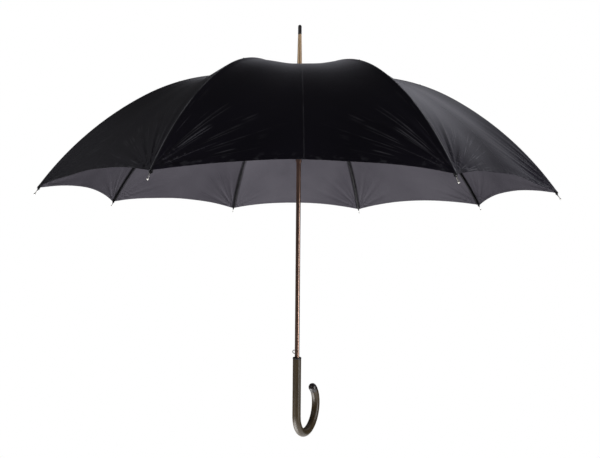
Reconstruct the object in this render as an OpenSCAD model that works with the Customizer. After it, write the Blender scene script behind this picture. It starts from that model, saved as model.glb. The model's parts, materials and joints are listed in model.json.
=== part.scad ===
// Stick umbrella with eight fluted ribs, shown open. Millimetres, +Z up along the shaft.
// The origin is on the shaft's axis, half way up the straight grip of the crook handle.

/* [Shaft] */
// Outside diameter of the shaft tube
shaft_d = 10; // [9:0.5:10]
// Wall of the shaft tube
shaft_wall = 0.9; // [0.7:0.1:1.2]
// Height of the ferrule's tip above the grip's middle
tip_z = 780; // [760:5:800]
// Height of the rib pivots in the top notch
notch_z = 663.8; // [650:0.1:670]

/* [Ribs] */
// Depth and width of a rib's channel
rib_w = 3; // [2.6:0.1:3.2]
// Slope of a rib where it leaves the notch, degrees
rib_slope = 2.4; // [1:0.1:4]
// Length of a rib from its pivot to the canopy's corner
rib_len = 582; // [575:0.5:600]
// Radius of the nearly straight top of a rib
top_radius = 1311; // [1200:1:1500]
// Length of that top
top_len = 160; // [140:5:180]
// Radius of the shoulder of a rib
shoulder_radius = 386; // [370:1:410]
// Length of the shoulder
shoulder_len = 160; // [140:5:180]
// Radius of the outer part of a rib
outer_radius = 608; // [570:1:650]
// Distance along a rib to its stretcher joiner
joiner_s = 264; // [255:1:272]
// Length of bare rib past the canopy's corner
prong_len = 12.5; // [10:0.5:15]
// Angle from the crook's plane to the first rib, degrees
rib_turn = 4.5; // [0:0.5:22.5]

/* [Canopy] */
// Thickness of a canopy panel
cloth_t = 0.8; // [0.6:0.1:1]
// Rise of the hem half way between two ribs, along the cloth
scallop = 22; // [10:1:30]
// Hollow of the cloth half way between two ribs
cloth_sag = 10; // [0:1:14]

/* [Handle] */
// Diameter of the handle
handle_d = 18; // [16:0.5:20]
// Height of the handle's top above the grip's middle
handle_top = 63.5; // [55:0.5:66]
// Lowest point of the crook below the grip's middle
handle_drop = 120; // [115:1:125]
// Radius of the crook's centre line
crook_radius = 50.3; // [46:0.1:54]
// Turn of the crook, degrees
crook_turn = 231; // [190:1:240]

/* [Hidden] */
RIBS = 8;
STEP = 360 / RIBS;
NUMBERS = [1:RIBS];
$fn = 48;

shaft_r = shaft_d / 2;
handle_r = handle_d / 2;
pivot_r = 10;
crown_r = 13;
crown_core_r = 7.7;
crown_h = 8;
slot_w = 3.6;
ring_wire_r = 0.5;
ring_bore_r = 0.75;
eye_r = 1.9;
channel_wall = 0.5;
rib_h = 2.8;
flex_gap = 0.5;
joiner_drop = 5.5;
cheek_in = 1.75;
cheek_t = 0.5;
rivet_r = 0.6;
rivet_bore_r = 0.68;
stretcher_w = 2.6;
cloth_gap = 0.9;
panel_gap = 0.25;
cloth_low = rib_h / 2 + cloth_gap;
cloth_inner_s = -1.2;
sleeve_bore_r = shaft_r + 0.08;
sleeve_r = 6.6;
sleeve_core_r = 5.9;
catch_t = 1.6;
catch_slot_w = 2.2;
catch_reach = 3.6;
catch_len = 9;
catch_nose_h = 2.5;
bow_r = 4.3;
bow_out = 6.9;
bow_wire_r = 0.8;
slit_w = 2.6;
slit_play = 1.2;
shaft_foot_z = -30;
ferrule_z = notch_z + 4.2;
ferrule_top_r = 3.9;
ferrule_root_r = 5.6;
ferrule_bore_r = 3;
cap_len = 21;
cap_r = 3.9;
plug_r = 2.95;
plug_len = 12;
collar_h = 2.2;
end_cap_turn = 11;
bore_play = 0.05;

// The centre line of a rib, in the plane of the rib: [distance from the shaft's axis, height, slope]
function turned(p, radius, len) =
    let (a = p[2] + len / radius * 180 / PI)
    [p[0] + radius * (sin(a) - sin(p[2])), p[1] + radius * (cos(a) - cos(p[2])), a];
rib_start = [pivot_r, notch_z, rib_slope];
shoulder_start = turned(rib_start, top_radius, top_len);
outer_start = turned(shoulder_start, shoulder_radius, shoulder_len);
function rib_at(s) =
    s < top_len ? turned(rib_start, top_radius, s)
    : s < top_len + shoulder_len ? turned(shoulder_start, shoulder_radius, s - top_len)
    : turned(outer_start, outer_radius, s - top_len - shoulder_len);
function lifted(p, n) = [p[0] + n * sin(p[2]), p[1] + n * cos(p[2]), p[2]];

// The pivot of a stretcher under its rib, and the pivot on the runner, level with the notch's ring
joiner = lifted(rib_at(joiner_s), -joiner_drop);
runner_z = 2 * joiner[1] - notch_z;
arm = norm([joiner[0] - pivot_r, joiner[1] - notch_z]);
travel = 2 * arm - (notch_z - runner_z);

// The catches stand a quarter turn from the crook. The lower one is just above the handle, and the closed
// runner's slit drops over it
bow_z = handle_top + 11.7;
slit_z = bow_z - bow_r - slit_play + travel;
slit_len = 2 * (bow_r + slit_play);
sleeve_foot_z = handle_top + 1.3 + travel;
top_catch_z = slit_z + slit_len - 0.3 - catch_len;

// A point of the canopy beside a rib along +X: s along the rib, w from -1 to 1 between the middles of the
// two gores beside it, and n above the rib's centre line
function cloth_at(s, w, n) =
    let (p = rib_at(s), f = abs(w) / 2, side = sign(w) * STEP)
    let (hollow = cloth_sag * 4 * f * (1 - f) * sin(180 * min(1, max(0, s / rib_len))))
    let (r = p[0] + (n - hollow) * sin(p[2]), z = p[1] + (n - hollow) * cos(p[2]))
    [r * (1 - f + f * cos(side)), r * f * sin(side), z];
function hem_s(w) = rib_len - scallop * (1 - pow(1 - abs(w), 2));
function widest(s) = 1 - panel_gap / (rib_at(s)[0] * sin(STEP / 2));

module around(k) {
    rotate([0, 0, rib_turn + (k - 1) * STEP]) children();
}
module beside_crook() {
    rotate([0, 0, -90]) children();
}

// A closed shell between two grids of points with the same rows and columns
module shell(top, bottom) {
    rows = len(top);
    cols = len(top[0]);
    count = rows * cols;
    points = concat([for (row = top) each row], [for (row = bottom) each row]);
    edge = concat(
        [for (j = [0:cols - 2]) [j, j + 1]],
        [for (i = [0:rows - 2]) [(i + 1) * cols - 1, (i + 2) * cols - 1]],
        [for (j = [cols - 1:-1:1]) [(rows - 1) * cols + j, (rows - 1) * cols + j - 1]],
        [for (i = [rows - 1:-1:1]) [i * cols, (i - 1) * cols]]
    );
    cells = [for (i = [0:rows - 2], j = [0:cols - 2]) i * cols + j];
    polyhedron(points, concat(
        [for (a = cells) each [[a, a + 1, a + cols + 1], [a, a + cols + 1, a + cols]]],
        [for (a = cells) each [
            [count + a, count + a + cols + 1, count + a + 1],
            [count + a, count + a + cols, count + a + cols + 1]]],
        [for (e = edge) each [[e[0], count + e[1], e[1]], [e[0], count + e[0], count + e[1]]]]
    ));
}

// A stretch of the rib's fluted channel, open underneath
module channel_profile(w, h) {
    difference() {
        translate([-h / 2, -w / 2]) square([h, w]);
        translate([-h / 2 - 1, channel_wall - w / 2]) square([h + 1 - channel_wall, w - 2 * channel_wall]);
    }
}
module rib_arc(start, radius, s0, s1) {
    p = lifted(start, -radius);
    a0 = start[2] + s0 / radius * 180 / PI;
    a1 = start[2] + s1 / radius * 180 / PI;
    translate([p[0], 0, p[1]]) rotate([90, 0, 0]) rotate([0, 0, 90 - a1])
        rotate_extrude(angle = a1 - a0, $fn = 360)
            translate([radius, 0]) channel_profile(rib_w, rib_h);
}
module across(p, r, half) {
    translate([p[0], 0, p[1]]) rotate([90, 0, 0]) cylinder(r = r, h = 2 * half, center = true);
}

module rib_inner(k) {
    color("#1c1c1e") around(k) {
        difference() {
            union() {
                across(rib_start, eye_r, rib_w / 2);
                rib_arc(rib_start, top_radius, 0, top_len);
            }
            across(rib_start, ring_bore_r, rib_w);
        }
        rib_arc(shoulder_start, shoulder_radius, 0, joiner_s - top_len - flex_gap);
        joiner_clip();
    }
}

// Two cheeks beside the rib, riveted to it, that hold the stretcher's pivot below it
module joiner_clip() {
    p = rib_at(joiner_s);
    anchor = rib_at(joiner_s - 3.5);
    across(anchor, 0.8, cheek_in + cheek_t + 0.3);
    across(joiner, rivet_r, cheek_in + cheek_t + 0.3);
    for (y = [-1, 1])
        translate([p[0], y * (cheek_in + cheek_t / 2), p[1]]) rotate([0, p[2], 0]) {
            translate([-1, 0, -0.3]) cube([8, cheek_t, 3.2], center = true);
            translate([0, 0, -joiner_drop / 2 - 0.5]) cube([4, cheek_t, joiner_drop - 1], center = true);
            translate([0, 0, -joiner_drop]) rotate([90, 0, 0]) cylinder(r = 2, h = cheek_t, center = true);
        }
}

module rib_outer(k) {
    corner = rib_at(rib_len);
    color("#1c1c1e") around(k) {
        rib_arc(shoulder_start, shoulder_radius, joiner_s - top_len + flex_gap, shoulder_len);
        rib_arc(outer_start, outer_radius, 0, rib_len - top_len - shoulder_len);
        difference() {
            across(rib_at(rib_len), eye_r, rib_w / 2);
            across(rib_at(rib_len), ring_bore_r, rib_w);
        }
        translate([corner[0], 0, corner[1]]) rotate([0, 90 + corner[2], 0]) {
            translate([0, 0, 1.4]) cylinder(r = 0.8, h = prong_len - 2.4);
            translate([0, 0, prong_len - 1.5]) sphere(r = 1.5);
        }
    }
}

module stretcher(k) {
    drop = atan2(joiner[1] - runner_z, joiner[0] - pivot_r);
    color("#1c1c1e") around(k)
        translate([joiner[0], 0, joiner[1]]) rotate([0, -drop, 0]) difference() {
            union() {
                rotate([90, 0, 0]) cylinder(r = eye_r - 0.1, h = stretcher_w, center = true);
                translate([-arm, 0, 0]) rotate([90, 0, 0])
                    cylinder(r = eye_r - 0.1, h = stretcher_w, center = true);
                rotate([0, -90, 0]) linear_extrude(arm) channel_profile(stretcher_w, rib_h - 0.2);
            }
            rotate([90, 0, 0]) cylinder(r = rivet_bore_r, h = rib_w + 1, center = true);
            translate([-arm, 0, 0]) rotate([90, 0, 0])
                cylinder(r = ring_bore_r, h = rib_w + 1, center = true);
        }
}

// The canopy's panels: a grid of points from the notch to the joiners, and one from there to the hem
INNER_ROWS = 14;
OUTER_ROWS = 16;
COLUMNS = 8;
inner_from = cloth_inner_s;
inner_to = joiner_s - panel_gap;
outer_from = joiner_s + panel_gap;
function columns(s) = [for (j = [0:COLUMNS]) widest(s) * (2 * j / COLUMNS - 1)];
function inner_grid(n) = [
    for (i = [0:INNER_ROWS])
        let (s = inner_from + (inner_to - inner_from) * i / INNER_ROWS)
        [for (w = columns(s)) cloth_at(s, w, n)]
];
function outer_grid(n) = [
    for (i = [0:OUTER_ROWS])
        let (v = i / OUTER_ROWS, across_at = outer_from + v * (rib_len - outer_from))
        [for (w = columns(across_at)) cloth_at(outer_from + v * (hem_s(w) - outer_from), w, n)]
];
module panel_inner(k) {
    color("#131316") around(k) shell(inner_grid(cloth_low + cloth_t), inner_grid(cloth_low));
}
module panel_outer(k) {
    color("#131316") around(k) shell(outer_grid(cloth_low + cloth_t), outer_grid(cloth_low));
}

// A closing band sewn along a seam at the back, with its press stud
strap_rib = 2;
strap_side = [-7, 0, 7];
strap_span = [rib_len - 235, rib_len - 45];
strap_low = cloth_low + cloth_t + 0.4;
strap_t = 0.9;
stud_inset = 12;
STRAP_ROWS = 8;
function strap_w(s, y) = y / (rib_at(s)[0] * sin(STEP / 2));
function strap_grid(n) = [
    for (i = [0:STRAP_ROWS])
        let (s = strap_span[0] + (strap_span[1] - strap_span[0]) * i / STRAP_ROWS)
        [for (y = strap_side) cloth_at(s, strap_w(s, y), n)]
];
module tie_strap() {
    color("#131316") around(strap_rib) shell(strap_grid(strap_low + strap_t), strap_grid(strap_low));
}
module tie_stud() {
    s = strap_span[1] - stud_inset;
    p = cloth_at(s, 0, strap_low + 1);
    color("#2a2a2c") around(strap_rib) translate(p) rotate([0, rib_at(s)[2], 0]) {
        cylinder(r = 5, h = 0.9);
        cylinder(r = 3, h = 1.6);
    }
}

// A slotted crown that holds the eyes of eight ribs or stretchers
module crown(z, bore_r) {
    translate([0, 0, z - crown_h / 2]) difference() {
        union() {
            cylinder(r = crown_r, h = crown_h - 2.6);
            cylinder(r = crown_core_r, h = crown_h - 1);
        }
        translate([0, 0, -1]) cylinder(r = bore_r, h = crown_h + 2);
        for (k = NUMBERS)
            around(k) translate([crown_core_r, -slot_w / 2, -1]) cube([crown_r, slot_w, crown_h + 2]);
        crown_groove();
    }
}
module crown_groove() {
    translate([0, 0, crown_h / 2])
        rotate_extrude($fn = 96) translate([pivot_r, 0]) circle(r = ring_wire_r + 0.05, $fn = 24);
}
module ring_wire(z) {
    translate([0, 0, z])
        rotate_extrude($fn = 96) translate([pivot_r, 0]) circle(r = ring_wire_r, $fn = 24);
}
module top_notch() {
    color("#1a1a1a") crown(notch_z, shaft_r);
}
module notch_ring() {
    color("silver") ring_wire(notch_z);
}
module runner_crown() {
    color("#1a1a1a") crown(runner_z, sleeve_core_r);
}
// The runner's wire, left out of the slots
module runner_ring() {
    color("silver") difference() {
        ring_wire(runner_z);
        for (k = NUMBERS)
            around(k) translate([0, -slot_w / 2, runner_z - 2]) cube([crown_r, slot_w, 4]);
    }
}
module runner_sleeve() {
    foot = [0, 0, sleeve_foot_z];
    color("#4a3a2e") difference() {
        union() {
            translate(foot) cylinder(r = sleeve_core_r, h = runner_z + crown_h / 2 - 1 - sleeve_foot_z);
            translate(foot) cylinder(r = sleeve_r, h = 5);
            translate([0, 0, runner_z - crown_h / 2 - 6]) cylinder(r = sleeve_r + 0.6, h = 6);
        }
        translate([0, 0, sleeve_foot_z - 1])
            cylinder(r = sleeve_bore_r, h = runner_z + crown_h - sleeve_foot_z);
        beside_crook() translate([-2 * sleeve_r, -slit_w / 2, slit_z])
            cube([2 * sleeve_r, slit_w, slit_len]);
    }
}
module runner_stop() {
    color("#4a3a2e") translate([0, 0, runner_z + crown_h / 2 + 0.4]) difference() {
        cylinder(r = 6.4, h = 3.5);
        translate([0, 0, -1]) cylinder(r = shaft_r, h = 6);
    }
}

module catch_slot(z, len) {
    beside_crook() translate([-shaft_d, -catch_slot_w / 2, z - 1]) cube([shaft_d, catch_slot_w, len + 2]);
}
module shaft() {
    color("#5b4030") difference() {
        translate([0, 0, shaft_foot_z]) cylinder(r = shaft_r, h = ferrule_z - shaft_foot_z + 16);
        translate([0, 0, shaft_foot_z - 1])
            cylinder(r = shaft_r - shaft_wall, h = ferrule_z - shaft_foot_z + 18);
        catch_slot(top_catch_z, catch_len);
        catch_slot(bow_z - bow_r - 1, 2 * bow_r + 2);
    }
}
// A sprung wedge through the shaft's wall, on which the open runner rests
module top_catch() {
    nose = -shaft_r - catch_reach;
    outline = [[-1, 0], [-shaft_r, 0], [nose, catch_len - catch_nose_h], [nose, catch_len], [-1, catch_len]];
    color("silver") beside_crook() translate([0, catch_t / 2, top_catch_z]) rotate([90, 0, 0])
        linear_extrude(catch_t) polygon(outline);
}
// A wire bow through the shaft's wall, just above the handle, that holds the closed runner
module bottom_catch() {
    color("#3a3430") beside_crook() translate([-bow_out, 0, bow_z]) {
        rotate([90, 0, 0]) rotate_extrude($fn = 64)
            translate([bow_r - bow_wire_r, 0]) circle(r = bow_wire_r, $fn = 24);
        translate([bow_r - bow_wire_r, 0, 0]) cube([1, catch_t, 5], center = true);
    }
}

module ferrule() {
    z1 = tip_z - cap_len;
    color("#a8835c") difference() {
        union() {
            translate([0, 0, ferrule_z + 2.5])
                cylinder(r1 = ferrule_root_r, r2 = ferrule_top_r, h = z1 - ferrule_z - 2.5);
            translate([0, 0, ferrule_z + 1.2]) cylinder(r = 7.2, h = 2);
        }
        translate([0, 0, ferrule_z]) cylinder(r = shaft_r + bore_play, h = 17);
        translate([0, 0, ferrule_z + 1]) cylinder(r = ferrule_bore_r, h = z1 - ferrule_z);
    }
}
module ferrule_cap() {
    z1 = tip_z - cap_len;
    color("#111111") {
        translate([0, 0, z1 - plug_len]) cylinder(r = plug_r, h = plug_len + 1);
        translate([0, 0, z1 + bore_play]) cylinder(r = cap_r, h = cap_len - cap_r - bore_play);
        translate([0, 0, tip_z - cap_r]) sphere(r = cap_r);
    }
}
// The disc that clamps the middle of the canopy on the notch
module rosette() {
    color("#1a1a1a") translate([0, 0, ferrule_z - 0.7]) difference() {
        cylinder(r1 = 15, r2 = 13.5, h = 1.8);
        translate([0, 0, -1]) cylinder(r = shaft_r + bore_play, h = 4);
    }
}

crook_z = crook_radius + handle_r - handle_drop;
module crook_arc(r, from, to) {
    translate([crook_radius, 0, crook_z]) rotate([90, 0, 0]) rotate([0, 0, 180 + from])
        rotate_extrude(angle = to - from, $fn = 180) translate([crook_radius, 0]) circle(r = r);
}
module at_crook(turn) {
    translate([crook_radius, 0, crook_z]) rotate([0, -turn, 0]) translate([-crook_radius, 0, 0]) children();
}
module handle() {
    color("#3b2f28") difference() {
        union() {
            translate([0, 0, crook_z]) cylinder(r = handle_r, h = handle_top - collar_h - crook_z);
            crook_arc(handle_r, 0, crook_turn - end_cap_turn);
        }
        translate([0, 0, shaft_foot_z - 0.5]) cylinder(r = shaft_r + bore_play, h = handle_top - shaft_foot_z);
    }
}
module handle_collar() {
    color("#161616") translate([0, 0, handle_top - collar_h + 0.02]) difference() {
        cylinder(r = handle_r + 0.35, h = collar_h);
        translate([0, 0, -1]) cylinder(r = shaft_r + bore_play, h = collar_h + 2);
    }
}
module handle_cap() {
    color("#141414") {
        crook_arc(handle_r + 0.15, crook_turn - end_cap_turn + 0.05, crook_turn);
        at_crook(crook_turn) intersection() {
            scale(handle_r + 0.15) sphere(r = 1);
            translate([0, 0, -handle_r]) cylinder(r = handle_r + 1, h = handle_r);
        }
    }
}

shaft();
ferrule();
ferrule_cap();
top_notch();
notch_ring();
rosette();
runner_stop();
runner_crown();
runner_sleeve();
runner_ring();
top_catch();
bottom_catch();
handle();
handle_collar();
handle_cap();
tie_strap();
tie_stud();
for (k = NUMBERS) rib_inner(k);
for (k = NUMBERS) rib_outer(k);
for (k = NUMBERS) stretcher(k);
for (k = NUMBERS) panel_inner(k);
for (k = NUMBERS) panel_outer(k);
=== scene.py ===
"""Looks of the stick umbrella: its stretched canopy, the ties, the closing band and every finish."""
import json
import math

import bpy
import numpy as np
from mathutils import Matrix, Vector


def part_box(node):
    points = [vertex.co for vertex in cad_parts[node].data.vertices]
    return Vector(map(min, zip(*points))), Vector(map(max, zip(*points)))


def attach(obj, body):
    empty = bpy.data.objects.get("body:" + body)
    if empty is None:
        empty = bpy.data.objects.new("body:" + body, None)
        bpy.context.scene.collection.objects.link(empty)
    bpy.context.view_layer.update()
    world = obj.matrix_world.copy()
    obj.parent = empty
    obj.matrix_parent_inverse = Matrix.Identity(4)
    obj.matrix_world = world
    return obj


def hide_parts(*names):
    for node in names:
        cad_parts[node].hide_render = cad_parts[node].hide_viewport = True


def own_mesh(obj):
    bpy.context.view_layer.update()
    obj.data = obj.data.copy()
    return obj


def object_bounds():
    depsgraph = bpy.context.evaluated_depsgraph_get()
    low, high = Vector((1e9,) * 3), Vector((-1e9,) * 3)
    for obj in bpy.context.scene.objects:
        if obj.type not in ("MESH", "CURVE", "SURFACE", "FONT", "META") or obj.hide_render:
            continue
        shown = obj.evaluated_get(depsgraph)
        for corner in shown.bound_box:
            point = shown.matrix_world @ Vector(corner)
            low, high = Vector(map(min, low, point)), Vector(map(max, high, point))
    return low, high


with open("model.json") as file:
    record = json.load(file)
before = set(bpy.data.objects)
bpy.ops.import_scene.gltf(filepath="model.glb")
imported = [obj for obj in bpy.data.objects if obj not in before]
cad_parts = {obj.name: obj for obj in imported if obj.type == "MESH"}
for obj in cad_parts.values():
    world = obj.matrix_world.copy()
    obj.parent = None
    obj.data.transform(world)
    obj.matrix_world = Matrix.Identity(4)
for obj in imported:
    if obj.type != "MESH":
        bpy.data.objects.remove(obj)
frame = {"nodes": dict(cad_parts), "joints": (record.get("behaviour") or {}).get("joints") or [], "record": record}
cad_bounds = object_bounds()
joints = {j["name"]: j for j in frame["joints"]}

# ---------------------------------------------------------------- the frame's sizes, in metres
RIBS = 8
STEP = 2 * math.pi / RIBS
FIRST_PIVOT = joints["rib_hinge_1"]["pos_m"]
PIVOT_R = math.hypot(FIRST_PIVOT[0], FIRST_PIVOT[1])
RIB_TURN = math.atan2(FIRST_PIVOT[1], FIRST_PIVOT[0])
NOTCH_Z = FIRST_PIVOT[2]
# A rib leaves its pivot with this slope and bends down along three arcs
RIB_SLOPE = math.radians(2.4)
TOP_RADIUS = 1.311
TOP_LEN = 0.160
SHOULDER_RADIUS = 0.386
SHOULDER_LEN = 0.160
OUTER_RADIUS = 0.608
JOINER_S = 0.264
RIB_LEN = 0.582
# The canopy's corner from the shaft's axis, and how far past it the rib's bare prong starts
CORNER_R = 0.5
BARE_PAST = 0.0015
CROOK_R = 0.0503
GRIP_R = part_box("handle")[1].y
CROOK_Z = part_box("handle")[0].z + CROOK_R + GRIP_R

# ---------------------------------------------------------------- the canopy's cloth
SCALLOP = 0.022       # how far the hem rises between two ribs
CLOTH_SAG = 0.010     # hollow of a gore's middle
CLOTH_LOW = 0.0023    # the inner face above the rib's centre line
CLOTH_T = 0.00035
CLOTH_IN_S = -0.0012  # where the cloth starts, along the rib
SEAM_HALF = 0.0032
SEAM_RAISE = 0.00035
SEAM_SOFT = 0.0004
HEM_W = 0.007
HEM_RAISE = 0.0003
HEM_SOFT = 0.0005
INNER_GRID = (44, 26)
OUTER_GRID = (66, 46)

# Folds of the cloth: how deep, how many and how they fade. TURN is a full turn, as they use it
FIRST_SEED = 40
TURN = 6.28
TIGHT = 0.006         # the seams hold the cloth flat about this far out
LONG_FOLDS = 5
LONG_DEPTH = 0.0003
LONG_TILTS = (-3, 3)
LONG_COUNTS = (1.0, 3.2)
LONG_FROM_S = 0.2
FAN_DEPTH = 0.0007
FAN_COUNTS = (15, 20)
FAN_OVERTONE = (0.6, 1.9)
FAN_REACH = 0.11
FAN_START = 0.03
SEAM_PUCKER = {"depth": 0.00004, "length": 0.014, "start": 0.004, "reach": 0.009}
HEM_PUCKER = {"depth": 0.00012, "length": 0.017, "start": 0.0, "reach": 0.01}
SEAM_WANDER = (0.002, 37)
HEM_WANDER = (0.006, 23)
HEM_WANDER_SMALL = (0.003, 61)

# Stitches, laps, and the scale of the weave
STITCH = 0.0026
STITCH_GAP = 0.3
STITCH_HALF = 0.0006
STITCH_SHADE = 0.3
HEM_STITCH_IN = 0.0012
SEAM_STITCH_OUT = 0.0014
LAP_EDGE = (0.0072, 0.0082)
WEAVE = 450.0
WEAVE_SHARE = 0.3

# Painted highlights on the seams, the pressed fold, the creases and the hem's puckers: the scale of their noise,
# where each starts and ends, and how much lighter it is
HIGHLIGHT_BREAK_SCALE = 25.0
SEAM_HIGHLIGHT = (0.0004, 0.0015)
SEAM_HIGHLIGHT_BREAKS = (0.25, 0.55)
FOLD_HALF = 0.0012
FOLD_HIGHLIGHT_BREAKS = (0.3, 0.6)
FOLD_HIGHLIGHT = 0.22
HEM_SPOTS = (90.0, 120.0, 2.0)
HEM_SPOT_EDGE = (0.56, 0.7)
HEM_HIGHLIGHT = (0.004, 0.016)
PUCKER_HIGHLIGHT = 0.35
CREASE_HIGHLIGHT = 0.42
SPOKES = (42.0, 9.0)
SPOKE_EDGE = (0.56, 0.7)
PATCHES = (6.0, 24.0)
PATCH_EDGE = (0.46, 0.64)
STREAKS_FROM = (0.008, 0.025)
STREAKS_TO = (0.05, 0.19)
GORE_SHIFT = 7.3

# The other finishes' grain: the scale of its noise on each axis
DRAWN_LINES = (900, 900, 9)
WOOD_GRAIN = (420, 420, 14)
WOOD_GRAIN_SHARE = 0.65
WOOD_PORES = (1500, 1500, 60)

# ---------------------------------------------------------------- thread and band
THREAD_R = 0.00018
THREAD_TURNS = 3
THREAD_PITCH = 0.00045
THREAD_POINTS = 24
THREAD_SIDES = 6
THREAD_TOP = 0.0033   # the thread over the cloth, above the rib's centre line
JOINER_TIE_IN = 0.014
JOINER_TIE = {"depth": 0.0018, "half": 0.0021}
CORNER_TIE_IN = 0.0026
CORNER_TIE = {"depth": 0.0002, "half": 0.002}
BAND_FROM = RIB_LEN - 0.235
BAND_TO = RIB_LEN - 0.045
BAND_HALF = 0.007
BAND_LOW = 0.0036
BAND_HIGH = 0.0043
BAND_GRID = (60, 11)
BAND_ROUND_FROM = 0.965
BAND_END = 0.25
BAND_EDGE = 0.00015
BAND_RIPPLE = 0.00012
BAND_RIPPLE_RATES = (41, 0.4)

# ---------------------------------------------------------------- camera and stage
CAMERA_TURN = math.radians(-158.55) + RIB_TURN
CAMERA_DISTANCE = 2.206 * CORNER_R
CAMERA_RIGHT = 0.008 * CORNER_R
CAMERA_Z = 0.3288
CAMERA_PITCH = math.radians(0.55)
CAMERA_ROLL = math.radians(0.5)
CAMERA_LENS = 30.77
FLOOR_Z = cad_bounds[0].z - 1.6
FLOOR_HALF = 2.4
FLOOR_DARK = (0.88, 0.88, 0.88)
FLOOR_LIGHT = (0.92, 0.92, 0.92)
FLOOR_GLOW = 0.95
ROOM_GLOW = 0.05
WHITE = (1, 1, 1)
COOL = (0.9, 0.9, 1.0)


def from_camera(right, back, up):
    """A place given from the shaft: to the camera's right, towards the camera, and up."""
    b = Vector((math.cos(CAMERA_TURN), math.sin(CAMERA_TURN), 0))
    return b * back + Vector((-b.y, b.x, 0)) * right + Vector((0, 0, up))


def make_camera():
    """The camera stands a little below the canopy's hem and faces the middle of one gore."""
    data = bpy.data.cameras.new("camera")
    data.lens = CAMERA_LENS
    data.dof.use_dof = False
    camera = bpy.data.objects.new("camera", data)
    bpy.context.scene.collection.objects.link(camera)
    camera.location = from_camera(CAMERA_RIGHT, CAMERA_DISTANCE, CAMERA_Z)
    look = from_camera(0, -1, 0).to_track_quat("-Z", "Y").to_matrix().to_4x4()
    turn = Matrix.Rotation(CAMERA_PITCH, 4, "X") @ Matrix.Rotation(CAMERA_ROLL, 4, "Z")
    camera.matrix_world = Matrix.Translation(camera.location) @ look @ turn
    bpy.context.scene.camera = camera


# ---------------------------------------------------------------- building materials
class Finish:
    """A material built from nodes, with short helpers for the nodes that the finishes share."""

    def __init__(self, name):
        self.material = bpy.data.materials.new(name)
        self.material.use_nodes = True
        self.tree = self.material.node_tree
        self.shader = self.tree.nodes["Principled BSDF"]

    def feed(self, socket, value):
        if hasattr(value, "is_output"):
            self.tree.links.new(value, socket)
        else:
            socket.default_value = value

    def node(self, kind, **inputs):
        made = self.tree.nodes.new(kind)
        for key, value in inputs.items():
            self.feed(made.inputs[key.replace("_", " ")], value)
        return made

    def set(self, **values):
        for key, value in values.items():
            self.feed(self.shader.inputs[key.replace("_", " ")], value)

    def math(self, operation, *values):
        made = self.tree.nodes.new("ShaderNodeMath")
        made.operation = operation
        for socket, value in zip(made.inputs, values):
            self.feed(socket, value)
        return made.outputs[0]

    def plus(self, a, b):
        return self.math("ADD", a, b)

    def minus(self, a, b):
        return self.math("SUBTRACT", a, b)

    def times(self, a, b):
        return self.math("MULTIPLY", a, b)

    def larger(self, a, b):
        return self.math("MAXIMUM", a, b)

    def distance(self, a, b):
        """The length of a vector with the parts a and b."""
        return self.math("SQRT", self.plus(self.times(a, a), self.times(b, b)))

    def ranged(self, value, **ends):
        return self.node("ShaderNodeMapRange", Value=value, **ends).outputs[0]

    def rise(self, value, start, end):
        """0 below start, 1 past end."""
        return self.ranged(value, From_Min=start, From_Max=end)

    def fade(self, value, start, end):
        """1 below start, 0 past end."""
        return self.ranged(value, From_Min=start, From_Max=end, To_Min=1.0, To_Max=0.0)

    def spread(self, value, low, high):
        """low where the value is 0, high where it is 1."""
        return self.ranged(value, To_Min=low, To_Max=high)

    def coords(self):
        return self.tree.nodes.new("ShaderNodeTexCoord").outputs["Object"]

    def uv(self, layer):
        made = self.tree.nodes.new("ShaderNodeUVMap")
        made.uv_map = layer
        return made.outputs[0]

    def split(self, vector):
        return self.node("ShaderNodeSeparateXYZ", Vector=vector).outputs

    def joined(self, x, y=0.0, z=0.0):
        return self.node("ShaderNodeCombineXYZ", X=x, Y=y, Z=z).outputs[0]

    def stretched(self, vector, scale):
        return self.node("ShaderNodeMapping", Vector=vector, Scale=scale).outputs[0]

    def noise(self, vector, scale=1.0, detail=3.0, roughness=0.5):
        grain = {"Scale": scale, "Detail": detail, "Roughness": roughness}
        return self.node("ShaderNodeTexNoise", Vector=vector, **grain).outputs["Fac"]

    def wave(self, vector, scale, direction):
        made = self.node("ShaderNodeTexWave", Vector=vector, Scale=scale)
        made.bands_direction = direction
        return made.outputs["Fac"]

    def ramp(self, value, *stops):
        """Colours at given places along a value from 0 to 1."""
        made = self.node("ShaderNodeValToRGB", Fac=value)
        band = made.color_ramp
        while len(band.elements) < len(stops):
            band.elements.new(0.5)
        for element, (place, colour) in zip(band.elements, stops):
            element.position = place
            element.color = (*colour, 1)
        return made.outputs["Color"]

    def mix(self, share, first, second):
        """Mixes a socket's colour with a fixed one."""
        made = self.tree.nodes.new("ShaderNodeMix")
        made.data_type = "RGBA"
        for index, value in ((0, share), (6, first), (7, (*second, 1))):
            self.feed(made.inputs[index], value)
        return made.outputs[2]

    def bump(self, height, strength, distance, under=None):
        made = self.node("ShaderNodeBump", Height=height, Strength=strength, Distance=distance)
        if under is not None:
            self.feed(made.inputs["Normal"], under)
        return made.outputs[0]


# ---------------------------------------------------------------- the cloth's finish
def corner_streaks(f, off, along, gore):
    """Sharp little creases that fan out from a gore's sewn corners, in broken lines."""
    short = f.minus(RIB_LEN, along)
    reach = f.distance(off, short)
    angle = f.math("ARCTAN2", off, short)
    own = f.times(gore, GORE_SHIFT)
    spokes = f.joined(f.times(angle, SPOKES[0]), f.times(reach, SPOKES[1]), own)
    patches = f.joined(f.times(angle, PATCHES[0]), f.times(reach, PATCHES[1]), own)
    line = f.rise(f.noise(spokes, detail=0.0), *SPOKE_EDGE)
    part = f.rise(f.noise(patches, detail=1.0), *PATCH_EDGE)
    near = f.times(f.rise(reach, *STREAKS_FROM), f.fade(reach, *STREAKS_TO))
    return f.times(f.times(line, part), near)


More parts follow.
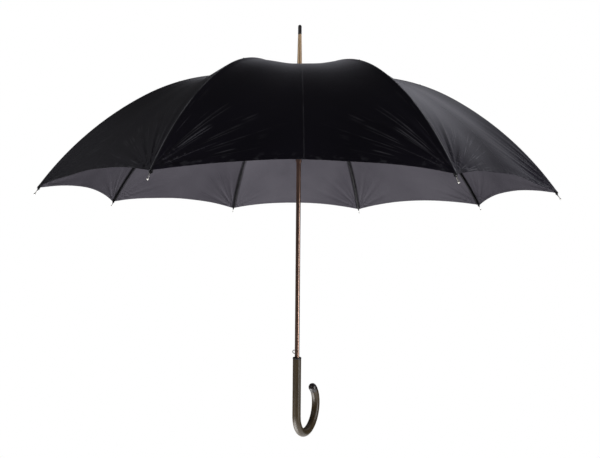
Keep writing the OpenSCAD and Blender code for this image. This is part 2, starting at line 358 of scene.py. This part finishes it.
def stitch_line(f, distance, along, at):
    """A row of short stitches: 1 in the dimple of each, at a distance from an edge."""
    line = f.math("ABSOLUTE", f.minus(distance, at))
    dash = f.math("GREATER_THAN", f.math("FRACT", f.times(along, 1 / STITCH)), STITCH_GAP)
    return f.times(f.fade(line, 0.0, STITCH_HALF), dash)


def painted_highlights(f, off, edge, across, along, fold, streaks):
    """Painted highlights: lighter colour where light would catch the tight cloth, on the seams, the pressed fold,
    the creases and the hem's puckers.
    """
    place = f.joined(*(f.times(part, scale) for part, scale in zip((across, edge, along), HEM_SPOTS)))
    spots = f.rise(f.noise(place, detail=1.0), *HEM_SPOT_EDGE)
    pucker = f.times(f.times(spots, f.fade(edge, *HEM_HIGHLIGHT)), PUCKER_HIGHLIGHT)
    highlight_breaks = f.noise(f.joined(f.times(along, HIGHLIGHT_BREAK_SCALE)), detail=2.0)
    seam = f.times(f.fade(off, *SEAM_HIGHLIGHT), f.rise(highlight_breaks, *SEAM_HIGHLIGHT_BREAKS))
    pressed = f.times(fold, f.times(f.rise(highlight_breaks, *FOLD_HIGHLIGHT_BREAKS), FOLD_HIGHLIGHT))
    return f.larger(f.larger(seam, pressed), f.times(f.larger(pucker, streaks), CREASE_HIGHLIGHT))


def cloth_finish(name, dark, light, highlight_colour, rough, gloss, lap_shade):
    """Fine plain-weave polyester. The UV maps hold the cloth's own metres, its distances to a seam and to
    the hem, and its distance to the gore's middle with the gore's number."""
    f = Finish(name)
    uv = f.uv("UVMap")
    across, along, _ = f.split(uv)
    off, edge, _ = f.split(f.uv("Edges"))
    middle, gore, _ = f.split(f.uv("Fold"))
    place = f.coords()
    weave = f.times(f.wave(uv, WEAVE, "X"), f.wave(uv, WEAVE, "Y"))
    cloud = f.noise(place, scale=9.0, detail=4.0)
    fuzz = f.noise(place, scale=420.0, detail=2.0)
    hem_stitches = stitch_line(f, edge, across, HEM_W - HEM_STITCH_IN)
    stitches = f.larger(hem_stitches, stitch_line(f, off, along, SEAM_STITCH_OUT))
    lap = f.fade(off, *LAP_EDGE)
    fold = f.fade(middle, 0.0, FOLD_HALF)
    streaks = corner_streaks(f, off, along, gore)

    tone = f.plus(f.times(cloud, 1 - WEAVE_SHARE), f.times(weave, WEAVE_SHARE))
    # Painted shade: the stitch dimples are darker, and on the inside the doubled cloth along the seams is darker,
    # as less light comes through it
    shade = f.plus(f.times(stitches, STITCH_SHADE), f.times(lap, lap_shade))
    black = tuple(c * 0.1 for c in dark)
    colour = f.ramp(f.minus(tone, shade), (0.0, black), (0.3, dark), (0.8, light))
    # Painted highlights: the colour goes towards a lighter one where light would catch the seams, the fold, the
    # creases and the puckers
    colour = f.mix(painted_highlights(f, off, edge, across, along, fold, streaks), colour, highlight_colour)

    normal = f.bump(weave, strength=0.08, distance=0.0001)
    normal = f.bump(f.plus(cloud, f.times(fuzz, 0.01)), strength=0.3, distance=0.003, under=normal)
    normal = f.bump(streaks, strength=0.5, distance=0.0008, under=normal)
    normal = f.bump(fold, strength=0.5, distance=0.0006, under=normal)
    normal = f.bump(f.minus(lap, stitches), strength=0.6, distance=0.0003, under=normal)
    f.set(Base_Color=colour, Roughness=f.spread(fuzz, rough, rough + 0.12), Normal=normal)
    f.set(Specular_IOR_Level=gloss, Specular_Tint=(0.93, 0.9, 1.0, 1.0))
    return f.material


# ---------------------------------------------------------------- the other finishes
def band_finish(name):
    """The closing band's cloth, doubled and a little coarser."""
    f = Finish(name)
    place = f.coords()
    cloud = f.noise(place, scale=60.0, detail=4.0)
    ribs = f.wave(place, scale=320.0, direction="Z")
    f.set(Base_Color=f.ramp(cloud, (0.3, (0.002, 0.002, 0.003)), (0.8, (0.006, 0.006, 0.008))))
    f.set(Roughness=f.spread(cloud, 0.45, 0.6), Specular_IOR_Level=0.35)
    f.set(Normal=f.bump(f.plus(cloud, f.times(ribs, 0.1)), strength=0.3, distance=0.001))
    return f.material


def metal_finish(name, dark, light, rough, metallic=1.0, coat=0.0):
    """Drawn tube or wire: fine lines along the shaft and a little unevenness in the polish."""
    f = Finish(name)
    place = f.coords()
    lines = f.noise(f.stretched(place, DRAWN_LINES))
    patches = f.noise(place, scale=30.0)
    f.set(Base_Color=f.ramp(patches, (0.3, dark), (0.75, light)), Metallic=metallic)
    f.set(Roughness=f.spread(lines, rough, rough + 0.12), Coat_Weight=coat, Coat_Roughness=0.12)
    f.set(Normal=f.bump(lines, strength=0.12, distance=0.0001))
    return f.material


def plastic_finish(name, colour, rough, coat=0.0):
    """Moulded plastic with a fine pebble and faint handling marks."""
    f = Finish(name)
    place = f.coords()
    pebble = f.noise(place, scale=1400.0, detail=2.0)
    marks = f.noise(place, scale=60.0, detail=4.0, roughness=0.6)
    lighter = tuple(min(1.0, c * 1.8 + 0.004) for c in colour)
    f.set(Base_Color=f.ramp(marks, (0.35, colour), (0.8, lighter)))
    f.set(Roughness=f.spread(marks, rough, rough + 0.15), Coat_Weight=coat, Coat_Roughness=0.1)
    f.set(Normal=f.bump(pebble, strength=0.15, distance=0.00008))
    return f.material


def rib_finish(name):
    """Black enamel on the steel channel, and bare nickel on the prong past the canopy's corner."""
    f = Finish(name)
    place = f.coords()
    x, y, _ = f.split(place)
    bare = f.math("GREATER_THAN", f.distance(x, y), CORNER_R + BARE_PAST)
    chips = f.noise(place, scale=120.0, detail=4.0)
    enamel = f.ramp(chips, (0.3, (0.004, 0.004, 0.0045)), (0.8, (0.01, 0.01, 0.011)))
    f.set(Base_Color=f.mix(bare, enamel, (0.62, 0.6, 0.57)), Metallic=bare)
    f.set(Roughness=f.spread(chips, 0.28, 0.42), Specular_IOR_Level=0.2)
    f.set(Normal=f.bump(chips, strength=0.1, distance=0.0002))
    return f.material


def wood_finish(name, dark, middle, light):
    """Dark stained wood whose grain follows the grip and then the crook."""
    f = Finish(name)
    x, y, z = f.split(f.coords())
    across = f.minus(x, CROOK_R)
    above = f.minus(z, CROOK_Z)
    inward = f.times(across, -1.0)
    bent = f.larger(f.math("LESS_THAN", above, 0.0), f.math("GREATER_THAN", across, 0.0))
    straight = f.minus(1.0, bent)
    arc = f.times(f.math("ARCTAN2", above, inward), CROOK_R)
    along = f.plus(f.times(bent, arc), f.times(straight, above))
    side = f.plus(f.times(bent, f.distance(across, above)), f.times(straight, inward))
    place = f.joined(side, y, along)
    grain = f.noise(f.stretched(place, WOOD_GRAIN), detail=5.0, roughness=0.6)
    pores = f.noise(f.stretched(place, WOOD_PORES), detail=2.0)
    cloud = f.noise(place, scale=25.0)
    tone = f.plus(f.times(grain, WOOD_GRAIN_SHARE), f.times(cloud, 1 - WOOD_GRAIN_SHARE))
    f.set(Base_Color=f.ramp(tone, (0.3, dark), (0.55, middle), (0.8, light)))
    f.set(Roughness=f.spread(grain, 0.36, 0.48), Specular_IOR_Level=0.2)
    f.set(Coat_Weight=0.45, Coat_Roughness=0.4)
    f.set(Normal=f.bump(pores, strength=0.035, distance=0.0002))
    return f.material


finishes = {
    "cloth": cloth_finish(
        "cloth_outside", dark=(0.0044, 0.0035, 0.0074), light=(0.0094, 0.0078, 0.0148),
        highlight_colour=(0.2, 0.2, 0.22), rough=0.4, gloss=0.28, lap_shade=0.0),
    # The inside of the same black cloth is painted much lighter: painted light, as if light came through the thin
    # cloth
    "cloth_inside": cloth_finish(
        "cloth_inside", dark=(0.036, 0.033, 0.041), light=(0.062, 0.058, 0.068),
        highlight_colour=(0.045, 0.041, 0.05), rough=0.55, gloss=0.2, lap_shade=0.35),
    "frame_paint": rib_finish("rib_enamel"),
    "shaft_metal": metal_finish(
        "shaft_bronze", dark=(0.16, 0.088, 0.06), light=(0.28, 0.172, 0.125),
        rough=0.24, metallic=0.88, coat=0.9),
    "ferrule_metal": metal_finish(
        "ferrule_bronze", dark=(0.62, 0.41, 0.23), light=(0.8, 0.57, 0.35),
        rough=0.3, metallic=0.5, coat=0.2),
    "wire_steel": metal_finish(
        "wire_nickel", dark=(0.5, 0.49, 0.46), light=(0.7, 0.69, 0.66), rough=0.2),
    "catch_wire": metal_finish(
        "catch_steel", dark=(0.012, 0.011, 0.009), light=(0.03, 0.027, 0.022),
        rough=0.45, metallic=0.4),
    "black_plastic": plastic_finish("moulded_black", (0.008, 0.008, 0.008), rough=0.45),
    "cap_plastic": plastic_finish("satin_black", (0.01, 0.0075, 0.0065), rough=0.32, coat=0.2),
    "handle_wood": wood_finish(
        "stained_wood", dark=(0.022, 0.0135, 0.0043), middle=(0.039, 0.0245, 0.0077),
        light=(0.062, 0.041, 0.0145)),
    "band": band_finish("band_cloth"),
    "thread": plastic_finish("black_thread", (0.01, 0.01, 0.011), rough=0.7),
}


def finish_frame():
    """Every CAD node takes the finish of its own material slot."""
    slots = {s["node"]: s["material_slot"] for s in frame["record"]["subparts"]}
    for name, piece in frame["nodes"].items():
        piece.data.materials.clear()
        piece.data.materials.append(finishes[slots[name]])


# ---------------------------------------------------------------- the canopy's surface
def turned(start, radius, length):
    """A point and slope on an arc that starts at [distance, height, slope] and bends down."""
    r, z, slope = start
    end = slope + length / radius
    return r + radius * (np.sin(end) - np.sin(slope)), z + radius * (np.cos(end) - np.cos(slope)), end


RIB_START = (PIVOT_R, NOTCH_Z, RIB_SLOPE)
SHOULDER_START = turned(RIB_START, TOP_RADIUS, TOP_LEN)
OUTER_START = turned(SHOULDER_START, SHOULDER_RADIUS, SHOULDER_LEN)


def rib_at(s):
    """The rib's centre line s along it from its pivot: distance from the shaft, height and slope."""
    top = turned(RIB_START, TOP_RADIUS, s)
    shoulder = turned(SHOULDER_START, SHOULDER_RADIUS, s - TOP_LEN)
    outer = turned(OUTER_START, OUTER_RADIUS, s - TOP_LEN - SHOULDER_LEN)
    first, second = s < TOP_LEN, s < TOP_LEN + SHOULDER_LEN
    return [np.where(first, a, np.where(second, b, c)) for a, b, c in zip(top, shoulder, outer)]


def gore_width(s):
    """The straight distance between two ribs."""
    return 2 * rib_at(s)[0] * math.sin(STEP / 2)


def hem_s(share):
    """Where the scalloped hem lies: at the rib's end on each rib, and shorter between them."""
    away = 2 * np.minimum(share, 1 - share)
    return RIB_LEN - SCALLOP * (1 - (1 - away) ** 2)


def long_folds(rng, share, s):
    """Soft folds along a gore, which start below its crown."""
    height = np.zeros_like(s)
    for _ in range(LONG_FOLDS):
        tilt, count = rng.uniform(*LONG_TILTS), rng.uniform(*LONG_COUNTS)
        phase = rng.uniform(0, TURN)
        height += LONG_DEPTH * np.sin(TURN * count * share + tilt * s / RIB_LEN * 2 + phase)
    return height * np.clip(s / LONG_FROM_S, 0, 1)


def corner_fan(rng, across, short):
    """Folds that fan out from a sewn corner, by the distances from the rib and from its end."""
    reach = np.hypot(across, short) + 1e-6
    angle = np.arctan2(across, short)
    count, phase = rng.uniform(*FAN_COUNTS), rng.uniform(0, TURN)
    share, rate = FAN_OVERTONE
    fan = np.sin(count * angle + phase) + share * np.sin(rate * count * angle + 2 * phase)
    return FAN_DEPTH * fan * np.exp(-(reach / FAN_REACH) ** 2) * np.clip(reach / FAN_START, 0, 1)


def waver(size, rate, along, phase=0.0):
    """How far the ripples of a sewn edge are shifted, so that they aren't even."""
    return size * np.sin(along * rate + phase)


def pucker(kind, along, off):
    """Ripples along a sewn edge, which fade with the distance off from it."""
    ripple = kind["depth"] * np.sin(TURN * along / kind["length"])
    return ripple * np.exp(-(off - kind["start"]) / kind["reach"])


def creases(gore, share, s):
    """Small folds of one gore, as a height above its smooth surface. The seams hold the cloth down."""
    rng = np.random.RandomState(FIRST_SEED + gore)
    width = gore_width(s)
    off = np.minimum(share, 1 - share) * width
    free = 1 - np.exp(-(off / TIGHT) ** 2)
    height = long_folds(rng, share, s)
    for side in (0, 1):
        height += corner_fan(rng, np.abs(share - side) * width, RIB_LEN - s)
    wander = waver(*SEAM_WANDER, s, rng.uniform(0, TURN))
    height += pucker(SEAM_PUCKER, s + wander, off)
    wander = waver(*HEM_WANDER, share, rng.uniform(0, TURN)) + waver(*HEM_WANDER_SMALL, share)
    return height * free + pucker(HEM_PUCKER, share * width + wander, hem_s(share) - s)


def raised_edges(share, s):
    """The doubled cloth of the seams and of the turned hem."""
    off = np.minimum(share, 1 - share) * gore_width(s)
    seam = SEAM_RAISE / (1 + np.exp((off - SEAM_HALF) / SEAM_SOFT))
    hem = HEM_RAISE / (1 + np.exp((hem_s(share) - s - HEM_W) / HEM_SOFT))
    return seam + hem


def cloth_at(gore, share, s, height=0.0):
    """Points of the cloth between rib number gore and the next, share of the way across."""
    share, s = np.broadcast_arrays(np.asarray(share, float), np.asarray(s, float))
    r, z, slope = rib_at(s)
    hollow = CLOTH_SAG * 4 * share * (1 - share) * np.sin(np.pi * np.clip(s / RIB_LEN, 0, 1))
    n = CLOTH_LOW + height - hollow + creases(gore, share, s) + raised_edges(share, s)
    r, z = r + n * np.sin(slope), z + n * np.cos(slope)
    a = RIB_TURN + (gore - 1) * STEP
    b = a + STEP
    x = r * ((1 - share) * math.cos(a) + share * math.cos(b))
    y = r * ((1 - share) * math.sin(a) + share * math.sin(b))
    return np.stack([x, y, z], -1)


def cloth_normal(gore, share, s):
    """Unit normals of the same surface, pointing up and out."""
    step, narrowest = 0.0006, 0.004
    d = step / np.maximum(gore_width(s), narrowest)
    across = cloth_at(gore, np.minimum(share + d, 1), s) - cloth_at(gore, np.maximum(share - d, 0), s)
    along = cloth_at(gore, share, s + step) - cloth_at(gore, share, s - step)
    normal = np.cross(along, across)
    return normal / np.linalg.norm(normal, axis=-1, keepdims=True)


# ---------------------------------------------------------------- mesh helpers
def add_mesh(name, points, faces, materials):
    mesh = bpy.data.meshes.new(name)
    mesh.from_pydata([tuple(p) for p in points], [], faces)
    for material in materials:
        mesh.materials.append(material)
    mesh.polygons.foreach_set("use_smooth", [True] * len(mesh.polygons))
    piece = bpy.data.objects.new(name, mesh)
    bpy.context.scene.collection.objects.link(piece)
    return piece


def grid_faces(rows, cols, start=0, flip=False):
    faces = []
    for i in range(rows - 1):
        for j in range(cols - 1):
            a = start + i * cols + j
            quad = (a, a + cols, a + cols + 1, a + 1)
            faces.append(quad[::-1] if flip else quad)
    return faces


def rim_faces(rows, cols):
    """Joins the edges of two grids that follow each other in the list of points."""
    edge = list(range(cols))
    edge += [i * cols + cols - 1 for i in range(1, rows)]
    edge += [(rows - 1) * cols + j for j in range(cols - 2, -1, -1)]
    edge += [i * cols for i in range(rows - 2, 0, -1)]
    count = rows * cols
    return [(a, b, b + count, a + count) for a, b in zip(edge, edge[1:] + edge[:1])]


def surface_area(points, faces):
    """The area of four-sided faces, each taken as two triangles."""
    a, b, c, d = (points[[f[i] for f in faces]] for i in range(4))
    first = np.linalg.norm(np.cross(b - a, c - a), axis=1)
    second = np.linalg.norm(np.cross(c - a, d - a), axis=1)
    return float((first + second).sum() / 2)


def fold_to_rib(piece):
    """Gives the piece its own copy of its mesh."""
    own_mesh(piece)


# ---------------------------------------------------------------- canopy panels
def panel_columns(k, half):
    """(gore, share) across the panel of rib k, from one gore's middle to the next one's."""
    left = [((k - 2) % RIBS + 1, 1 - 0.5 * i / half) for i in range(half, 0, -1)]
    return left + [(k, 0.5 * i / half) for i in range(half + 1)]


def panel_column(gore, share, s):
    """One column of the cloth's upper face: points, normals and the three UV pairs."""
    shares = np.full_like(s, share)
    normal = cloth_normal(gore, shares, s)
    if share == 0.0:
        gore_before = (gore - 2) % RIBS + 1
        normal = normal + cloth_normal(gore_before, shares + 1, s)
        normal /= np.linalg.norm(normal, axis=-1, keepdims=True)
    width = gore_width(s)
    off = min(share, 1 - share) * width
    to_hem = float(hem_s(share)) - s
    uv = np.stack([share * width, s, off, to_hem, width / 2 - off, np.full_like(s, gore)], -1)
    return cloth_at(gore, shares, s, CLOTH_T), normal, uv


def paint_uvs(piece, uv, count, cols, half):
    """Writes the UV maps. The faces left of the rib belong to the gore before, so where they meet the rib
    they take that gore's number and its full width."""
    mesh = piece.data
    corners = np.zeros(len(mesh.loops), int)
    mesh.loops.foreach_get("vertex_index", corners)
    values = uv[corners]
    column = corners % count % cols
    starts = np.zeros(len(mesh.polygons), int)
    mesh.polygons.foreach_get("loop_start", starts)
    left = np.minimum.reduceat(column, starts) < half
    sizes = np.diff(np.append(starts, len(corners)))
    on_seam = (column == half) & np.repeat(left, sizes)
    values[on_seam, 0] = gore_width(values[on_seam, 1])
    values[on_seam, 5] = uv[0, 5]
    for first, name in ((0, "UVMap"), (2, "Edges"), (4, "Fold")):
        mesh.uv_layers.new(name=name).data.foreach_set("uv", values[:, first:first + 2].ravel())


def panel_mesh(name, k, s0, s1, rows, half):
    """The panel of rib k, two faces of cloth with a rim, and the area of one. s1 is None at the hem."""
    columns = panel_columns(k, half)
    steps = np.linspace(0, 1, rows)
    made = []
    for gore, share in columns:
        end = float(hem_s(share)) if s1 is None else s1
        made.append(panel_column(gore, share, s0 + steps * (end - s0)))
    cols = len(columns)
    count = rows * cols
    top, normal, uv = (np.stack(part, 1).reshape(count, -1) for part in zip(*made))
    outside, inside = grid_faces(rows, cols), grid_faces(rows, cols, count, True)
    points = np.concatenate([top, top - normal * CLOTH_T])
    cloths = [finishes["cloth"], finishes["cloth_inside"]]
    piece = add_mesh(name, points, outside + inside + rim_faces(rows, cols), cloths)
    for polygon in piece.data.polygons[len(outside):len(outside) + len(inside)]:
        polygon.material_index = 1
    paint_uvs(piece, np.concatenate([uv, uv]), count, cols, half)
    piece.data.normals_split_custom_set_from_vertices(np.concatenate([normal, -normal]).tolist())
    return piece, surface_area(top, outside)


def make_panel(part, k, body, s0, s1, grid):
    """One rib's share of the canopy, hung on the rib's body in place of the CAD panel, which is hidden."""
    piece, area = panel_mesh(f"canopy_{part}_{k}", k, s0, s1, *grid)
    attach(piece, f"{body}_{k}")
    fold_to_rib(piece)
    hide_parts(f"panel_{part}_{k}")


def make_canopy():
    for k in range(1, RIBS + 1):
        make_panel("inner", k, "rib", CLOTH_IN_S, JOINER_S, INNER_GRID)
        make_panel("outer", k, "rib_end", JOINER_S, None, OUTER_GRID)


# ---------------------------------------------------------------- ties
def rib_frame(k, s):
    """A point on rib k at s, with the directions across the rib and up from it."""
    r, z, slope = (float(v) for v in rib_at(np.array(s)))
    a = RIB_TURN + (k - 1) * STEP
    out = Vector((math.cos(a), math.sin(a), 0))
    up = out * math.sin(slope) + Vector((0, 0, math.cos(slope)))
    return out * r + Vector((0, 0, z)), Vector((-math.sin(a), math.cos(a), 0)), up


def thread_loop(name, points):
    """A closed loop of round thread along points."""
    count = len(points)
    turns = [2 * math.pi * i / THREAD_SIDES for i in range(THREAD_SIDES)]
    rings, side = [], None
    for i, p in enumerate(points):
        run = (points[(i + 1) % count] - points[i - 1]).normalized()
        if side is None:
            side = run.orthogonal().normalized()
        side = (side - run * side.dot(run)).normalized()
        up = run.cross(side)
        rings += [p + THREAD_R * (math.cos(t) * side + math.sin(t) * up) for t in turns]
    faces = []
    for i in range(count):
        a, b = i * THREAD_SIDES, (i + 1) % count * THREAD_SIDES
        for j in range(THREAD_SIDES):
            after = (j + 1) % THREAD_SIDES
            faces.append((a + j, a + after, b + after, b + j))
    return add_mesh(name, rings, faces, [finishes["thread"]])


def make_tie(name, k, body, low, high, depth, half):
    """Turns of thread round rib k: at `low` along it on its underside and at `high` over the cloth."""
    loops = []
    for turn in range(THREAD_TURNS):
        points = []
        for i in range(THREAD_POINTS):
            t = 2 * math.pi * i / THREAD_POINTS
            share = (1 + math.sin(t)) / 2
            shift = THREAD_PITCH * (turn - 1)
            place, side, up = rib_frame(k, low + shift + (high - low) * share)
            n = -depth + (depth + THREAD_TOP) * share
            points.append(place + side * half * math.cos(t) + up * n)
        loops.append(thread_loop(f"{name}_{turn}", points))
    piece = loops[0]
    with bpy.context.temp_override(active_object=piece, selected_editable_objects=loops):
        bpy.ops.object.join()
    piece.name = name
    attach(piece, body)


def make_ties():
    joiner_tie_s = JOINER_S - JOINER_TIE_IN
    for k in range(1, RIBS + 1):
        make_tie(f"joiner_tie_{k}", k, f"rib_{k}", joiner_tie_s, joiner_tie_s, **JOINER_TIE)
        make_tie(f"corner_tie_{k}", k, f"rib_end_{k}", RIB_LEN, RIB_LEN - CORNER_TIE_IN, **CORNER_TIE)


# ---------------------------------------------------------------- closing band
def band_points(n):
    """One face of the closing band, n above the rib's centre line. The band is bent over the seam of
    rib 2, and one end is rounded."""
    rows, cols = BAND_GRID
    probe = 0.001
    lengthwise, crosswise = BAND_RIPPLE_RATES
    points = []
    for i in range(rows):
        t = i / (rows - 1)
        past = max(0.0, (t - BAND_ROUND_FROM) / (1 - BAND_ROUND_FROM))
        half = BAND_HALF * max(math.sqrt(max(0.0, 1 - past ** 2)), BAND_END)
        s = np.array(BAND_FROM + (BAND_TO - BAND_FROM) * t)
        width = float(gore_width(s))
        for j in range(cols):
            u = 2 * j / (cols - 1) - 1
            gore = 2 if u >= 0 else 1
            share = np.array(half * u / width + (0 if u >= 0 else 1))
            base = cloth_at(gore, share, s)
            up = (cloth_at(gore, share, s, probe) - base) / probe
            height = n - CLOTH_LOW - float(creases(gore, share, s)) - float(raised_edges(share, s))
            height += BAND_RIPPLE * math.sin(lengthwise * t + crosswise * j)
            height += BAND_EDGE * math.cos(2 * math.pi * u) if n == BAND_HIGH else 0.0
            points.append(base + up * height)
    return points


def make_band():
    rows, cols = BAND_GRID
    faces = grid_faces(rows, cols) + grid_faces(rows, cols, rows * cols, True) + rim_faces(rows, cols)
    points = band_points(BAND_HIGH) + band_points(BAND_LOW)
    piece = add_mesh("closing_band", points, faces, [finishes["band"]])
    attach(piece, "rib_end_2")
    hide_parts("tie_strap")
    fold_to_rib(piece)


# ---------------------------------------------------------------- light and stage
def make_stage():
    signs = ((-1, -1), (1, -1), (1, 1), (-1, 1))
    corners = [(x * FLOOR_HALF, y * FLOOR_HALF, FLOOR_Z) for x, y in signs]
    f = Finish("pale_floor")
    speckle = f.noise(f.coords(), scale=6.0, detail=2.0)
    f.set(Base_Color=f.ramp(speckle, (0.3, FLOOR_DARK), (0.8, FLOOR_LIGHT)), Roughness=0.9)
    f.set(Emission_Color=(*WHITE, 1), Emission_Strength=FLOOR_GLOW)
    add_mesh("floor", corners, [(0, 1, 2, 3)], [f.material])


def make_room():
    """A dim room that looks white to the camera."""
    world = bpy.data.worlds.new("studio")
    world.use_nodes = True
    tree = world.node_tree
    seen = tree.nodes.new("ShaderNodeLightPath").outputs["Is Camera Ray"]
    glow = tree.nodes.new("ShaderNodeMapRange")
    glow.inputs["To Min"].default_value = ROOM_GLOW
    tree.nodes["Background"].inputs["Color"].default_value = (*WHITE, 1)
    tree.links.new(seen, glow.inputs["Value"])
    tree.links.new(glow.outputs[0], tree.nodes["Background"].inputs["Strength"])
    bpy.context.scene.world = world
    bpy.context.scene.view_settings.view_transform = "Standard"


def area_light(name, place, target, size, watts, tint=WHITE):
    """A panel of light that the camera doesn't see."""
    data = bpy.data.lights.new(name, "AREA")
    data.shape = "RECTANGLE"
    data.size, data.size_y = size
    data.energy = watts
    data.color = tint
    light = bpy.data.objects.new(name, data)
    light.location = place
    light.visible_camera = False
    light.rotation_euler = (Vector(target) - Vector(place)).to_track_quat("-Z", "Y").to_euler()
    bpy.context.scene.collection.objects.link(light)


def make_lights():
    """Cool light from above, behind and both sides, white light from both sides, and a white panel near
    the floor that lights the underside."""
    area_light("overhead", from_camera(0.35, -1.6, 1.9), (0, 0, 0.6), size=(2.4, 0.8), watts=5.5, tint=COOL)
    area_light("rear_right", from_camera(1.6, -1.9, 1.3), (0, 0, 0.5), size=(1.5, 1.5), watts=4.4, tint=COOL)
    area_light("left", from_camera(-2.0, -0.6, 1.6), (0, 0, 0.5), size=(1.0, 1.5), watts=0.8, tint=COOL)
    area_light("left_strip", from_camera(-1.6, 1.2, 1.5), (0, 0, 0.7), size=(1.4, 0.8), watts=7)
    area_light("right_strip", from_camera(1.7, 0.9, 1.2), (0, 0, 0.6), size=(0.5, 0.8), watts=3.5, tint=COOL)
    area_light("tall_right", from_camera(1.9, 1.0, 0.0), (0, 0, 0.1), size=(0.6, 1.6), watts=34)
    low, high = from_camera(-1.25, 0.5, -1.6), from_camera(-1.25, 0.5, 0.5)
    area_light("low_left", low, high, size=(1.9, 1.9), watts=86)


make_camera()
finish_frame()
make_canopy()
make_ties()
make_band()
make_stage()
make_room()
make_lights()
